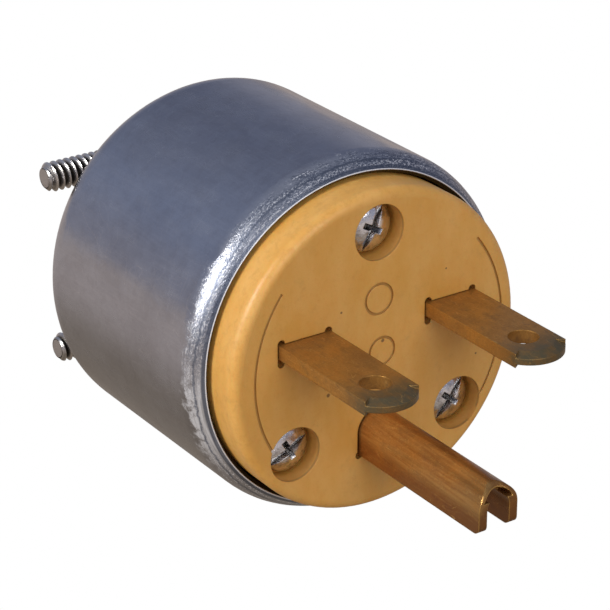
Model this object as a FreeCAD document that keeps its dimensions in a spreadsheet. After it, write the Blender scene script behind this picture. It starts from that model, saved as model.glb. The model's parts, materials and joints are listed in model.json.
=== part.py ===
import FreeCAD, Part
import math
import os

import Sketcher

# Round power plug: steel shell, moulded face, two blades in line and a folded ground pin.
# Frame: the face lies in the plane Y = 0, the pins point to -Y and the cord leaves to +Y.
# The blades lie side by side along X, and the ground pin is below them.

doc = FreeCAD.newDocument("RoundPowerPlug")

DIMENSIONS = {
    # steel shell
    "shell_radius": 19.95,
    "shell_wall": 0.7,
    "mouth_turn_in": 1.45,
    "mouth_back": 3.9,
    "shoulder_back": 6.9,
    "rear_back": 36.0,
    "rear_corner": 4.0,
    "rear_flange": 7.35,
    "cord_lip": 1.6,
    "cord_neck": 1.2,
    "boss_wall": 1.1,
    "boss_height": 2.5,
    # moulded face
    "face_clearance": 0.65,
    "face_rim": 1.1,
    "face_depth": 10.9,
    "screw_inset": 4.35,
    "screw_shift": 0.15,
    "screw_drop_angle": 40.0,
    "sink_play": 0.45,
    "sink_depth": 2.75,
    "slot_end_play": 0.125,
    "slot_play": 0.35,
    "slot_drop": 0.28,
    "slot_relief": 0.45,
    "ground_slot_play": 0.22,
    "trap_depth": 2.0,
    "trap_play": 0.15,
    "mould_line_inset": 1.2,
    "mould_line_offset": 0.4,
    "mould_line_width": 0.28,
    "mould_line_depth": 0.2,
    "mould_line_left_start": 212.0,
    "mould_line_left_span": 70.0,
    "mould_line_right_start": 39.0,
    "mould_line_right_span": 79.0,
    "ring_up": 6.0,
    "ring_radius": 1.8,
    "ejector_radius": 1.7,
    # blades
    "blade_spacing": 18.25,
    "blade_up": 3.3,
    "blade_width": 6.35,
    "blade_thickness": 1.5,
    "blade_length": 16.6,
    "blade_nose": 1.7,
    "blade_hole_radius": 1.6,
    "blade_hole_front": 12.1,
    "blade_bevel_back": 1.1,
    "blade_bevel_deep": 0.42,
    "shoulder_step": 1.025,
    "tail_step": 0.375,
    "pad_flange": 0.3,
    "pad_height": 8.0,
    # ground pin
    "ground_down": 8.8,
    "ground_radius": 2.38,
    "ground_sheet": 1.0,
    "ground_leg": 2.5,
    "ground_length": 20.3,
    "ground_nose_top": 1.6,
    "ground_nose_low": 0.8,
    "ground_lip": 0.4,
    "ground_lip_back": 1.9,
    "ground_lip_up": 0.8,
    "ground_foot_step": 1.42,
    "ground_pad_height": 7.9,
    # terminal block and what it carries
    "block_clearance": 1.1,
    "block_depth": 8.1,
    "post_wall": 0.75,
    "barrier_wall": 1.0,
    "barrier_height": 4.6,
    "barrier_reach": 6.5,
    "tail_play": 0.1,
    "terminal_rise": 3.6,
    "well_play": 0.2,
    "well_end_play": 1.3,
    "plate_size": 5.8,
    "plate_thickness": 0.8,
    "strap_width": 4.0,
    "strap_thickness": 0.5,
    "strap_gap": 0.2,
    "strap_setback": 2.6,
    "bend_relief": 0.8,
    "liner_gap": 0.3,
    "liner_thickness": 0.45,
    "liner_setback": 1.6,
    "liner_run": 0.6,
    "liner_seam": 1.2,
    "liner_window": 7.0,
    # screws
    "face_screw_radius": 1.6,
    "face_head_radius": 2.6,
    "face_head_side": 1.0,
    "face_head_crown": 0.7,
    "screw_play": 0.15,
    "terminal_screw_radius": 1.7,
    "terminal_screw_length": 6.0,
    "terminal_head_radius": 3.1,
    "terminal_head_side": 1.1,
    "terminal_head_crown": 0.6,
    "clamp_screw_radius": 1.7,
    "clamp_screw_length": 25.4,
    "clamp_head_radius": 2.6,
    "clamp_head_side": 1.0,
    "clamp_head_crown": 1.0,
    "screw_point": 0.5,
    "slot_width": 0.9,
    "slot_depth": 0.8,
    "cross_reach": 1.35,
    "cross_width": 0.75,
    "cross_depth": 1.2,
    "tap_play": 0.1,
    "loose_play": 0.3,
    # cord clamp
    "clamp_head_clearance": 0.1,
    "clamp_screw_out": 3.0,
    "clamp_loose_upper": 0.05,
    "clamp_loose_lower": 0.6,
    "jaw_inset": 0.6,
    "jaw_sheet": 1.2,
    "jaw_width": 4.8,
    "jaw_curve_inset": 1.2,
    "jaw_ear_length": 5.1,
    "jaw_bulge": 3.2,
    "jaw_collar_wall": 0.3,
    "jaw_collar_height": 1.2,
    "foot_half_height": 4.2,
    "rivet_clearance": 0.1,
    "rivet_edge": 1.9,
    "rivet_up": 2.1,
    "rivet_radius": 1.2,
    "rivet_head_radius": 1.8,
    "rivet_head_height": 1.0,
    "rivet_upset_radius": 1.7,
    "rivet_upset_height": 0.7,
}

# Places that follow from the dimensions, as formulas of the first sheet.
PLACES = {
    "shell_inner": "Dims.shell_radius - Dims.shell_wall",
    "wall_inner": "Dims.rear_back - Dims.shell_wall",
    "curl_drop": "Dims.mouth_turn_in",
    "mouth_radius": "Dims.shell_radius - Dims.mouth_turn_in",
    "curl_run": "Dims.shoulder_back - Dims.mouth_back",
    "curl_radius": "(curl_drop ^ 2 + curl_run ^ 2) / (2 * curl_drop)",
    "curl_inner": "curl_radius - Dims.shell_wall",
    "mouth_inner_radius": "mouth_radius - Dims.shell_wall * (curl_radius - curl_drop) / curl_radius",
    "mouth_inner_back": "Dims.mouth_back + Dims.shell_wall * curl_run / curl_radius",
    "rear_corner_across": "Dims.shell_radius - Dims.rear_corner",
    "rear_corner_back": "Dims.rear_back - Dims.rear_corner",
    "rear_corner_inner": "Dims.rear_corner - Dims.shell_wall",
    "cord_hole_radius": "rear_corner_across - Dims.rear_flange",
    "lip_across": "cord_hole_radius + Dims.cord_lip",
    "lip_edge": "cord_hole_radius + Dims.shell_wall",
    "lip_back": "Dims.rear_back - Dims.cord_lip",
    "lip_inner": "Dims.cord_lip - Dims.shell_wall",
    "face_radius": "mouth_radius - Dims.face_clearance",
    "screw_circle": "face_radius - Dims.screw_inset",
    "screw_low_across": "screw_circle * cos(Dims.screw_drop_angle)",
    "screw_top_up": "screw_circle - Dims.screw_shift",
    "screw_low_up": "0 - screw_circle * sin(Dims.screw_drop_angle) - Dims.screw_shift",
    "boss_radius": "Dims.face_screw_radius + Dims.boss_wall",
    "sink_radius": "Dims.face_head_radius + Dims.sink_play",
    "face_flat": "face_radius - Dims.face_rim",
    "mould_line_radius": "face_flat - Dims.mould_line_inset",
    "trap_back": "Dims.face_depth - Dims.trap_depth",
    "block_back": "Dims.face_depth + Dims.block_depth",
    "post_back": "wall_inner - Dims.boss_height",
    "post_radius": "Dims.face_screw_radius + Dims.screw_play + Dims.post_wall",
    "face_screw_length": "wall_inner - Dims.sink_depth",
    "half_spacing": "Dims.blade_spacing / 2",
    "barrier_across": "half_spacing / 2",
    "half_blade": "Dims.blade_width / 2",
    "slot_half_length": "half_blade + Dims.slot_end_play",
    "slot_half_height": "Dims.blade_thickness / 2 + Dims.slot_play",
    "slot_up": "Dims.blade_up - Dims.slot_drop",
    "half_shoulder": "half_blade + Dims.shoulder_step",
    "half_tail": "half_blade - Dims.tail_step",
    "tail_width": "2 * half_tail",
    "half_pad": "half_tail + Dims.pad_flange",
    "blade_low": "Dims.blade_up - Dims.blade_thickness / 2",
    "blade_high": "Dims.blade_up + Dims.blade_thickness / 2",
    "blade_corner": "Dims.blade_length - Dims.blade_nose",
    "blade_nose_radius": "(half_blade ^ 2 + Dims.blade_nose ^ 2) / (2 * Dims.blade_nose)",
    "nose_centre": "blade_nose_radius - Dims.blade_length",
    "nose_angle": "2 * asin(half_blade / blade_nose_radius)",
    "pad_back": "block_back + Dims.blade_thickness",
    "pad_low": "blade_high - Dims.pad_height",
    "terminal_up": "blade_low - Dims.terminal_rise",
    "terminal_hole_radius": "Dims.terminal_screw_radius + Dims.well_play",
    "terminal_grip": "Dims.blade_thickness + Dims.plate_thickness",
    "terminal_hole_depth": "Dims.terminal_screw_length - terminal_grip + Dims.well_end_play",
    "ground_inner": "Dims.ground_radius - Dims.ground_sheet",
    "ground_top": "Dims.ground_radius - Dims.ground_down",
    "ground_crown": "ground_top - Dims.ground_sheet",
    "ground_low": "0 - Dims.ground_down - Dims.ground_leg",
    "ground_lip_radius": "Dims.ground_radius - Dims.ground_lip",
    "ground_lip_half": "sqrt(ground_lip_radius ^ 2 - Dims.ground_lip_up ^ 2)",
    "ground_lip_low": "Dims.ground_lip_up - Dims.ground_down",
    "half_ground_foot": "Dims.ground_radius + Dims.ground_foot_step",
    "ground_foot_width": "2 * half_ground_foot",
    "ground_pad_back": "block_back + Dims.ground_sheet",
    "ground_pad_top": "ground_crown + Dims.ground_pad_height",
    "ground_terminal_up": "ground_top + Dims.terminal_rise",
    "strap_back": "ground_pad_back + Dims.strap_thickness",
    "strap_low": "Dims.strap_gap - shell_inner",
    "strap_high": "ground_terminal_up + Dims.plate_size / 2",
    "half_strap": "Dims.strap_width / 2",
    "half_plate": "Dims.plate_size / 2",
    "liner_outer": "shell_inner - Dims.liner_gap",
    "liner_inner": "liner_outer - Dims.liner_thickness",
    "liner_front": "Dims.shoulder_back + Dims.liner_setback",
    "liner_back": "rear_corner_back + Dims.liner_run",
    "block_radius": "liner_inner - Dims.block_clearance",
    "strap_end_back": "liner_back - Dims.strap_setback",
    "face_dome": "(Dims.face_head_radius ^ 2 + Dims.face_head_crown ^ 2) / (2 * Dims.face_head_crown)",
    "terminal_dome": "(Dims.terminal_head_radius ^ 2 + Dims.terminal_head_crown ^ 2) / (2 * Dims.terminal_head_crown)",
    "clamp_dome": "(Dims.clamp_head_radius ^ 2 + Dims.clamp_head_crown ^ 2) / (2 * Dims.clamp_head_crown)",
    "rivet_dome": "(Dims.rivet_head_radius ^ 2 + Dims.rivet_head_height ^ 2) / (2 * Dims.rivet_head_height)",
    "half_slot": "Dims.slot_width / 2",
    "half_cross": "Dims.cross_width / 2",
    "half_barrier": "Dims.barrier_wall / 2",
    "half_seam": "Dims.liner_seam / 2",
    "half_window": "Dims.liner_window / 2",
    "half_line": "Dims.mould_line_width / 2",
    "jaw_ear_across": "cord_hole_radius - Dims.jaw_inset",
    "jaw_ear_inner": "cord_hole_radius - Dims.jaw_curve_inset",
    "jaw_ear_outer": "jaw_ear_inner + Dims.jaw_ear_length",
    "clamp_screw_up": "jaw_ear_inner + Dims.clamp_screw_out",
    "clamp_screw_back": "Dims.rear_back + Dims.clamp_head_radius + Dims.clamp_head_clearance",
    "upper_seat": "jaw_ear_across + Dims.clamp_loose_upper",
    "lower_seat": "jaw_ear_across + Dims.clamp_loose_lower",
    "jaw_inner": "jaw_ear_across - Dims.jaw_sheet",
    "jaw_back": "Dims.rear_back + Dims.jaw_width",
    "jaw_belly": "jaw_ear_across + Dims.jaw_bulge",
    "jaw_belly_inner": "jaw_belly - Dims.jaw_sheet",
    "jaw_curve": "(jaw_ear_inner ^ 2 + Dims.jaw_bulge ^ 2) / (2 * Dims.jaw_bulge)",
    "jaw_collar_radius": "Dims.clamp_screw_radius + Dims.jaw_collar_wall",
    "foot_back": "Dims.rear_back + Dims.jaw_sheet",
    "rivet_across": "jaw_belly + Dims.rivet_head_radius + Dims.rivet_clearance",
    "foot_reach": "rivet_across + Dims.rivet_edge",
    "rivet_grip": "Dims.jaw_sheet + Dims.shell_wall",
}

START, END, CENTRE = 1, 2, 3
UP = FreeCAD.Vector(0, 0, 1)


def make_sheet(name, cells, formula):
    sheet = doc.addObject("Spreadsheet::Sheet", name)
    for row, (alias, content) in enumerate(cells.items(), start=1):
        sheet.set("A%d" % row, alias)
        sheet.set("B%d" % row, "=" + content if formula else str(content))
        sheet.setAlias("B%d" % row, alias)
    return sheet


dims = make_sheet("Dims", DIMENSIONS, formula=False)
places = make_sheet("Places", PLACES, formula=True)
doc.recompute()


# The value of a sum of sheet names, such as a + b - c.
def number(text):
    total, sign = 0.0, 1.0
    for word in text.split():
        if word in ("+", "-"):
            sign = 1.0 if word == "+" else -1.0
            continue
        if word[0].isdigit():
            value = float(word)
        else:
            value = float((places if word in PLACES else dims).get(word))
        total += sign * value
        sign = 1.0
    return total


# The same sum as an expression of the two sheets.
def bound(text):
    words = []
    for word in text.split():
        if word in PLACES:
            word = "Places." + word
        elif word in DIMENSIONS:
            word = "Dims." + word
        words.append(word)
    if words[0] == "-":
        words.insert(0, "0")
    return " ".join(words)


# Sketch helpers. A corner is a pair of sums: across and up on the sketch plane.

def new_body(name):
    body = doc.addObject("PartDesign::Body", name)
    body.Label = name
    return body


def new_sketch(body, name, role, offset=None):
    sketch = body.newObject("Sketcher::SketchObject", body.Name + "_" + name)
    plane = next(item for item in body.Origin.OriginFeatures if item.Role == role)
    sketch.AttachmentSupport = [(plane, "")]
    sketch.MapMode = "FlatFace"
    if offset:
        sketch.setExpression(".AttachmentOffset.Base.z", bound(offset))
    return sketch


def bind(sketch, kind, *where, text):
    value = number(text)
    index = sketch.addConstraint(Sketcher.Constraint(kind, *where, value))
    sketch.setExpression("Constraints[%d]" % index, bound(text))


def pin(sketch, edge, point, corner):
    for kind, text in zip(("DistanceX", "DistanceY"), corner):
        if text == "0":
            axis = -2 if kind == "DistanceX" else -1
            sketch.addConstraint(Sketcher.Constraint("PointOnObject", edge, point, axis))
        else:
            bind(sketch, kind, edge, point, text=text)


# An arc from start to end that bulges to the left (1) or the right (-1) of the way.
def arc_through(start, end, radius, bulge):
    middle = (start + end) * 0.5
    way = end - start
    side = FreeCAD.Vector(-way.y, way.x, 0).normalize() * bulge
    half = way.Length / 2
    rise = radius - math.sqrt(max(radius ** 2 - half ** 2, 0.0))
    return Part.Arc(start, middle + side * rise, end)


# A closed outline through the corners. arcs gives the radius and bulge of the edge after a corner.
def outline(sketch, corners, arcs=None):
    arcs = arcs or {}
    points = [FreeCAD.Vector(number(across), number(up), 0) for across, up in corners]
    edges = []
    for index, start in enumerate(points):
        end = points[(index + 1) % len(points)]
        if index in arcs:
            radius, bulge = arcs[index]
            shape = arc_through(start, end, number(radius), bulge)
        else:
            shape = Part.LineSegment(start, end)
        edges.append(sketch.addGeometry(shape))
    for index, edge in enumerate(edges):
        start = points[index]
        at_start = START if sketch.getPoint(edge, START).distanceToPoint(start) < 1e-4 else END
        before = edges[index - 1]
        at_end = START if sketch.getPoint(before, START).distanceToPoint(start) < 1e-4 else END
        sketch.addConstraint(Sketcher.Constraint("Coincident", before, at_end, edge, at_start))
        pin(sketch, edge, at_start, corners[index])
    for index, (radius, bulge) in arcs.items():
        bind(sketch, "Radius", edges[index], text=radius)


def box_outline(sketch, left, right, low, high):
    outline(sketch, [(left, low), (right, low), (right, high), (left, high)])


def circle(sketch, across, up, radius):
    centre = FreeCAD.Vector(number(across), number(up), 0)
    edge = sketch.addGeometry(Part.Circle(centre, UP, number(radius)))
    if across == "0" and up == "0":
        sketch.addConstraint(Sketcher.Constraint("Coincident", edge, CENTRE, -1, START))
    else:
        pin(sketch, edge, CENTRE, (across, up))
    bind(sketch, "Radius", edge, text=radius)


# Feature helpers.

def swept(body, kind, sketch, length, flip, symmetric=False):
    feature = body.newObject("PartDesign::" + kind, sketch.Name + "_" + kind.lower())
    feature.Profile = sketch
    feature.SideType = "Symmetric" if symmetric else "One side"
    feature.Reversed = flip
    if length is None:
        feature.Type = "ThroughAll"
    else:
        feature.setExpression("Length", bound(length))
    sketch.Visibility = False
    return feature


def pad(body, sketch, length, flip=False, symmetric=False):
    return swept(body, "Pad", sketch, length, flip, symmetric)


# A cut that misses the solid stops the build.
def pocket(body, sketch, length=None, flip=False, symmetric=False):
    doc.recompute()
    before = body.Shape.Volume
    feature = swept(body, "Pocket", sketch, length, flip, symmetric)
    doc.recompute()
    if not body.Shape.Volume < before - 1e-6:
        raise ValueError(feature.Name + " cuts nothing")
    return feature


def revolve(body, sketch):
    feature = body.newObject("PartDesign::Revolution", sketch.Name + "_turned")
    feature.Profile = sketch
    feature.ReferenceAxis = (sketch, ["V_Axis"])
    feature.Angle = 360
    sketch.Visibility = False
    return feature


def edges_where(feature, test):
    return ["Edge%d" % (index + 1) for index, edge in enumerate(feature.Shape.Edges) if test(edge)]


def soften(body, kind, base, names, size, second=None):
    feature = body.newObject("PartDesign::" + kind, body.Name + "_" + kind.lower())
    feature.Base = (base, names)
    if kind == "Fillet":
        feature.setExpression("Radius", bound(size))
    elif second:
        feature.ChamferType = "Two distances"
        feature.setExpression("Size", bound(size))
        feature.setExpression("Size2", bound(second))
    else:
        feature.setExpression("Size", bound(size))
    return feature


def place(body, across="0", back="0", up="0", turn=0):
    body.Placement = FreeCAD.Placement(FreeCAD.Vector(), FreeCAD.Rotation(UP, turn))
    for axis, text in zip("xyz", (across, back, up)):
        body.setExpression(".Placement.Base." + axis, bound(text))


# Screw places on the face, in order: top, left, right.
FACE_SCREWS = {
    "top": ("0", "screw_top_up"),
    "left": ("- screw_low_across", "screw_low_up"),
    "right": ("screw_low_across", "screw_low_up"),
}
SIDES = {"left": "- half_spacing", "right": "half_spacing"}


def steel_shell():
    body = new_body("steel_shell")
    wall = new_sketch(body, "wall", "XY_Plane")
    outline(wall, [
        ("mouth_radius", "mouth_back"),
        ("shell_radius", "shoulder_back"),
        ("shell_radius", "rear_corner_back"),
        ("rear_corner_across", "rear_back"),
        ("lip_across", "rear_back"),
        ("cord_hole_radius", "lip_back"),
        ("cord_hole_radius", "lip_back - cord_neck"),
        ("lip_edge", "lip_back - cord_neck"),
        ("lip_edge", "lip_back"),
        ("lip_across", "wall_inner"),
        ("rear_corner_across", "wall_inner"),
        ("shell_inner", "rear_corner_back"),
        ("shell_inner", "shoulder_back"),
        ("mouth_inner_radius", "mouth_inner_back"),
    ], arcs={
        0: ("curl_radius", -1),
        2: ("rear_corner", -1),
        4: ("cord_lip", -1),
        8: ("lip_inner", 1),
        10: ("rear_corner_inner", 1),
        12: ("curl_inner", 1),
    })
    revolve(body, wall)
    bosses = new_sketch(body, "bosses", "XZ_Plane", "- wall_inner")
    for across, up in FACE_SCREWS.values():
        circle(bosses, across, up, "boss_radius")
    pad(body, bosses, "boss_height")
    holes = new_sketch(body, "screw_holes", "XZ_Plane", "- rear_back")
    for across, up in FACE_SCREWS.values():
        circle(holes, across, up, "face_screw_radius + tap_play")
    for up in ("rivet_up", "- rivet_up"):
        circle(holes, "- rivet_across", up, "rivet_radius + tap_play")
    pocket(body, holes, "boss_height + shell_wall", flip=True)
    return body


def arc_groove(body, name, start, span):
    sketch = new_sketch(body, name, "XY_Plane")
    turn = FreeCAD.Rotation(FreeCAD.Vector(0, 1, 0), -number(start))
    sketch.AttachmentOffset = FreeCAD.Placement(FreeCAD.Vector(), turn)
    sketch.setExpression(".AttachmentOffset.Base.x", bound("mould_line_offset"))
    box_outline(sketch, "mould_line_radius - half_line", "mould_line_radius + half_line", "0", "mould_line_depth")
    groove = body.newObject("PartDesign::Groove", sketch.Name + "_groove")
    groove.Profile = sketch
    groove.ReferenceAxis = (sketch, ["V_Axis"])
    groove.setExpression("Angle", bound(span))
    sketch.Visibility = False


def face_insert():
    body = new_body("face_insert")
    disc = new_sketch(body, "disc", "XY_Plane")
    outline(disc, [
        ("0", "0"),
        ("face_flat", "0"),
        ("face_radius", "face_rim"),
        ("face_radius", "face_depth"),
        ("0", "face_depth"),
    ], arcs={1: ("face_rim", -1)})
    revolve(body, disc)

    sinks = new_sketch(body, "screw_holes", "XZ_Plane")
    for across, up in FACE_SCREWS.values():
        circle(sinks, across, up, "sink_radius")
    doc.recompute()
    hole = body.newObject("PartDesign::Hole", "face_insert_counterbores")
    hole.Profile = sinks
    doc.recompute()
    hole.DepthType = "ThroughAll"
    hole.HoleCutType = "Counterbore"
    hole.HoleCutCustomValues = True
    hole.setExpression("Diameter", "2 * (Dims.face_screw_radius + Dims.screw_play)")
    hole.setExpression("HoleCutDiameter", "2 * Places.sink_radius")
    hole.setExpression("HoleCutDepth", "Dims.sink_depth")
    sinks.Visibility = False

    slots = new_sketch(body, "slots", "XZ_Plane")
    for middle in SIDES.values():
        box_outline(slots, middle + " - slot_half_length", middle + " + slot_half_length",
                    "slot_up - slot_half_height", "slot_up + slot_half_height")
    ground_slot(slots)
    pocket(body, slots)
    reliefs = new_sketch(body, "reliefs", "XZ_Plane")
    for middle in SIDES.values():
        for across in (" - slot_half_length + slot_relief", " + slot_half_length - slot_relief"):
            for up in ("slot_up - slot_half_height", "slot_up + slot_half_height"):
                circle(reliefs, middle + across, up, "slot_relief")
    for across in ("- ground_radius", "ground_radius"):
        circle(reliefs, across, "ground_low", "slot_relief")
    pocket(body, reliefs)

    traps = new_sketch(body, "traps", "XZ_Plane", "- face_depth")
    for middle in SIDES.values():
        box_outline(traps, middle + " - half_shoulder - trap_play", middle + " + half_shoulder + trap_play",
                    "blade_low - trap_play", "blade_high + trap_play")
    box_outline(traps, "- half_ground_foot - trap_play", "half_ground_foot + trap_play",
                "ground_low - trap_play", "trap_play - ground_down")
    pocket(body, traps, "trap_depth", flip=True)

    arc_groove(body, "left_line", "mould_line_left_start", "mould_line_left_span")
    arc_groove(body, "right_line", "mould_line_right_start", "mould_line_right_span")
    rings = new_sketch(body, "rings", "XZ_Plane")
    for across, up, radius in (("0", "ring_up", "ring_radius"), ("mould_line_offset", "0", "ejector_radius")):
        circle(rings, across, up, radius)
        circle(rings, across, up, radius + " - mould_line_width")
    pocket(body, rings, "mould_line_depth")
    return body


# The opening that the ground pin passes: an arch on two straight sides.
def ground_slot(sketch):
    outline(sketch, [
        ("- ground_radius - ground_slot_play", "ground_low - ground_slot_play"),
        ("ground_radius + ground_slot_play", "ground_low - ground_slot_play"),
        ("ground_radius + ground_slot_play", "- ground_down"),
        ("0", "ground_top + ground_slot_play"),
        ("- ground_radius - ground_slot_play", "- ground_down"),
    ], arcs={
        2: ("ground_radius + ground_slot_play", -1),
        3: ("ground_radius + ground_slot_play", -1),
    })


def terminal_block():
    body = new_body("terminal_block")
    disc = new_sketch(body, "disc", "XZ_Plane", "- face_depth")
    circle(disc, "0", "0", "block_radius")
    pad(body, disc, "block_depth", flip=True)
    posts = new_sketch(body, "posts", "XZ_Plane", "- block_back")
    for across, up in FACE_SCREWS.values():
        circle(posts, across, up, "post_radius")
    pad(body, posts, "post_back - block_back", flip=True)
    barriers = new_sketch(body, "barriers", "XZ_Plane", "- block_back")
    for side in ("- barrier_across", "barrier_across"):
        box_outline(barriers, side + " - half_barrier", side + " + half_barrier", "- barrier_reach", "barrier_reach")
    pad(body, barriers, "barrier_height", flip=True)

    passages = new_sketch(body, "passages", "XZ_Plane", "- face_depth")
    for across, up in FACE_SCREWS.values():
        circle(passages, across, up, "face_screw_radius + screw_play")
    for middle in SIDES.values():
        box_outline(passages, middle + " - half_tail - tail_play", middle + " + half_tail + tail_play",
                    "blade_low - tail_play", "blade_high + tail_play")
    box_outline(passages, "- ground_radius - tail_play", "ground_radius + tail_play",
                "ground_crown - tail_play", "ground_top + tail_play")
    pocket(body, passages)
    taps = new_sketch(body, "screw_wells", "XZ_Plane", "- block_back")
    for middle in SIDES.values():
        circle(taps, middle, "terminal_up", "terminal_hole_radius")
    circle(taps, "0", "ground_terminal_up", "terminal_hole_radius")
    pocket(body, taps, "terminal_hole_depth", flip=True)
    return body


def fibre_liner():
    body = new_body("fibre_liner")
    sleeve = new_sketch(body, "sleeve", "XZ_Plane", "- liner_front")
    circle(sleeve, "0", "0", "liner_outer")
    circle(sleeve, "0", "0", "liner_inner")
    pad(body, sleeve, "liner_back - liner_front", flip=True)
    seam = new_sketch(body, "seam", "XZ_Plane", "- liner_front")
    box_outline(seam, "- half_seam", "half_seam", "0", "shell_radius")
    pocket(body, seam)
    window = new_sketch(body, "window", "XZ_Plane", "- block_back + trap_play")
    box_outline(window, "- half_window", "half_window", "- shell_radius", "0")
    pocket(body, window)
    return body


# A terminal pad that lies on the back of the block, with its screw hole.
def terminal_pad(body, low, high, thickness, hole_up):
    plate = new_sketch(body, "pad", "XZ_Plane", "- block_back")
    box_outline(plate, "- half_pad", "half_pad", low, high)
    pad(body, plate, thickness, flip=True)
    tap = new_sketch(body, "tap", "XZ_Plane", "- block_back")
    circle(tap, "0", hole_up, "terminal_screw_radius + tap_play")
    pocket(body, tap, thickness)


def blade(name, middle):
    body = new_body(name)
    flat = new_sketch(body, "flat", "XY_Plane", "blade_low")
    outline(flat, [
        ("- half_blade", "trap_back"),
        ("- half_blade", "- blade_corner"),
        ("half_blade", "- blade_corner"),
        ("half_blade", "trap_back"),
        ("half_shoulder", "trap_back"),
        ("half_shoulder", "face_depth"),
        ("half_tail", "face_depth"),
        ("half_tail", "block_back"),
        ("- half_tail", "block_back"),
        ("- half_tail", "face_depth"),
        ("- half_shoulder", "face_depth"),
        ("- half_shoulder", "trap_back"),
    ], arcs={1: ("blade_nose_radius", -1)})
    pad(body, flat, "blade_thickness")
    bevel = new_sketch(body, "bevel", "YZ_Plane")
    bevel.setExpression(".AttachmentOffset.Base.x", bound("nose_centre"))
    for face, inward in (("blade_high", " - "), ("blade_low", " + ")):
        outline(bevel, [
            ("- blade_nose_radius", face),
            ("- blade_nose_radius", face + inward + "blade_bevel_deep"),
            ("blade_bevel_back - blade_nose_radius", face),
        ])
    grind = body.newObject("PartDesign::Groove", body.Name + "_grind")
    grind.Profile = bevel
    grind.ReferenceAxis = (bevel, ["V_Axis"])
    grind.Midplane = True
    grind.setExpression("Angle", bound("nose_angle"))
    bevel.Visibility = False
    bend = new_sketch(body, "bend", "YZ_Plane")
    outline(bend, [
        ("block_back", "blade_high"),
        ("pad_back", "blade_low"),
        ("pad_back", "pad_low"),
        ("block_back", "pad_low"),
    ], arcs={0: ("blade_thickness", 1)})
    pad(body, bend, "tail_width", symmetric=True)
    terminal_pad(body, "pad_low", "blade_low - bend_relief", "blade_thickness", "terminal_up")
    eye = new_sketch(body, "eye", "XY_Plane", "blade_high")
    circle(eye, "0", "- blade_hole_front", "blade_hole_radius")
    pocket(body, eye, "blade_thickness")
    place(body, across=middle)
    return body


def ground_pin():
    body = new_body("ground_pin")
    section = new_sketch(body, "section", "XZ_Plane", "ground_length")
    outline(section, [
        ("- ground_radius", "ground_low"),
        ("- ground_radius", "- ground_down"),
        ("0", "ground_top"),
        ("ground_radius", "- ground_down"),
        ("ground_radius", "ground_low"),
        ("ground_inner", "ground_low"),
        ("ground_inner", "- ground_down"),
        ("0", "ground_crown"),
        ("- ground_inner", "- ground_down"),
        ("- ground_inner", "ground_low"),
    ], arcs={
        1: ("ground_radius", 1),
        2: ("ground_radius", 1),
        6: ("ground_inner", -1),
        7: ("ground_inner", -1),
    })
    pad(body, section, "ground_length + face_depth", flip=True)
    nose = new_sketch(body, "nose", "YZ_Plane")
    outline(nose, [
        ("ground_nose_top - ground_length", "ground_top"),
        ("- ground_length", "ground_top - ground_nose_top"),
        ("- ground_length", "ground_low + ground_nose_low"),
        ("ground_nose_low - ground_length", "ground_low"),
        ("- ground_length - ground_nose_low", "ground_low"),
        ("- ground_length - ground_nose_low", "ground_top"),
    ], arcs={0: ("ground_nose_top", -1), 2: ("ground_nose_low", -1)})
    pocket(body, nose, "ground_foot_width", symmetric=True)
    lip = new_sketch(body, "lip", "XZ_Plane", "ground_length")
    outline(lip, [
        ("- ground_lip_half", "ground_lip_low"),
        ("0", "ground_lip_radius - ground_down"),
        ("ground_lip_half", "ground_lip_low"),
    ], arcs={0: ("ground_lip_radius", 1), 1: ("ground_lip_radius", 1)})
    pocket(body, lip, "ground_lip_back")
    feet = new_sketch(body, "feet", "XZ_Plane", "- trap_back")
    box_outline(feet, "- half_ground_foot", "- ground_radius", "ground_low", "- ground_down")
    box_outline(feet, "ground_radius", "half_ground_foot", "ground_low", "- ground_down")
    pad(body, feet, "trap_depth", flip=True)
    tail = new_sketch(body, "tail", "YZ_Plane")
    outline(tail, [
        ("face_depth", "ground_crown"),
        ("block_back", "ground_crown"),
        ("ground_pad_back", "ground_top"),
        ("ground_pad_back", "ground_pad_top"),
        ("block_back", "ground_pad_top"),
        ("block_back", "ground_top"),
        ("face_depth", "ground_top"),
    ], arcs={1: ("ground_sheet", -1)})
    pad(body, tail, "ground_radius + ground_radius", symmetric=True)
    terminal_pad(body, "ground_top + bend_relief", "ground_pad_top", "ground_sheet", "ground_terminal_up")
    return body


def bond_strap():
    body = new_body("bond_strap")
    side = new_sketch(body, "side", "YZ_Plane")
    outline(side, [
        ("ground_pad_back", "strap_high"),
        ("ground_pad_back", "strap_low + strap_thickness"),
        ("strap_back", "strap_low"),
        ("strap_end_back", "strap_low"),
        ("strap_end_back", "strap_low + strap_thickness"),
        ("strap_back", "strap_low + strap_thickness"),
        ("strap_back", "strap_high"),
    ], arcs={1: ("strap_thickness", -1)})
    pad(body, side, "strap_width", symmetric=True)
    eye = new_sketch(body, "eye", "XZ_Plane", "- ground_pad_back")
    circle(eye, "0", "ground_terminal_up", "terminal_screw_radius + tap_play")
    pocket(body, eye, "strap_thickness")
    return body


def wire_plate(name, across, back, up):
    body = new_body(name)
    plate = new_sketch(body, "plate", "XZ_Plane")
    box_outline(plate, "- half_plate", "half_plate", "- half_plate", "half_plate")
    slab = pad(body, plate, "plate_thickness", flip=True)
    doc.recompute()
    corners = edges_where(slab, lambda edge: edge.BoundBox.XLength + edge.BoundBox.ZLength < 0.01)
    soften(body, "Fillet", slab, corners, "plate_thickness")
    eye = new_sketch(body, "eye", "XZ_Plane")
    circle(eye, "0", "0", "terminal_screw_radius + screw_play")
    pocket(body, eye, "plate_thickness")
    place(body, across, back, up)
    return body


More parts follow.
